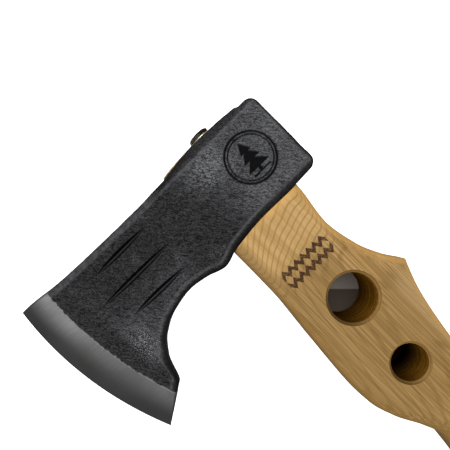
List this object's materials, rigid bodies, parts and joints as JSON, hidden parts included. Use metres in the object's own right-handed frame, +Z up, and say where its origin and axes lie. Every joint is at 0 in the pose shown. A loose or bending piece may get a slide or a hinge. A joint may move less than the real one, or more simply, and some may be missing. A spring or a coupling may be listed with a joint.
{
  "type": "hatchet",
  "caption": "Forestry hatchet: black forged head with square poll, clawed cheeks, beard and long bevel, on a curved ash handle with through holes.",
  "frame": {"origin": "on the lower cheek of the head, under the middle of the eye, where the hatchet lies on its side", "axes": "+X along the handle towards the top of the head, +Y from the poll towards the cutting edge, +Z up across the thickness"},
  "size_m": [0.3655, 0.1655, 0.034],
  "materials": {
    "forged_steel": "forged steel with a hammered black oxide skin and a satin ground bevel",
    "ash": "oiled light ash with fine straight grain",
    "wedge_wood": "plain hardwood",
    "plated_steel": "zinc-plated steel"
  },
  "bodies": {
    "root": {"forged_head": "forged_steel", "handle": "ash", "eye_wedge_rear": "wedge_wood", "eye_wedge_front": "wedge_wood", "lag_screw": "plated_steel", "screw_washer": "plated_steel"}
  },
  "joints": []
}
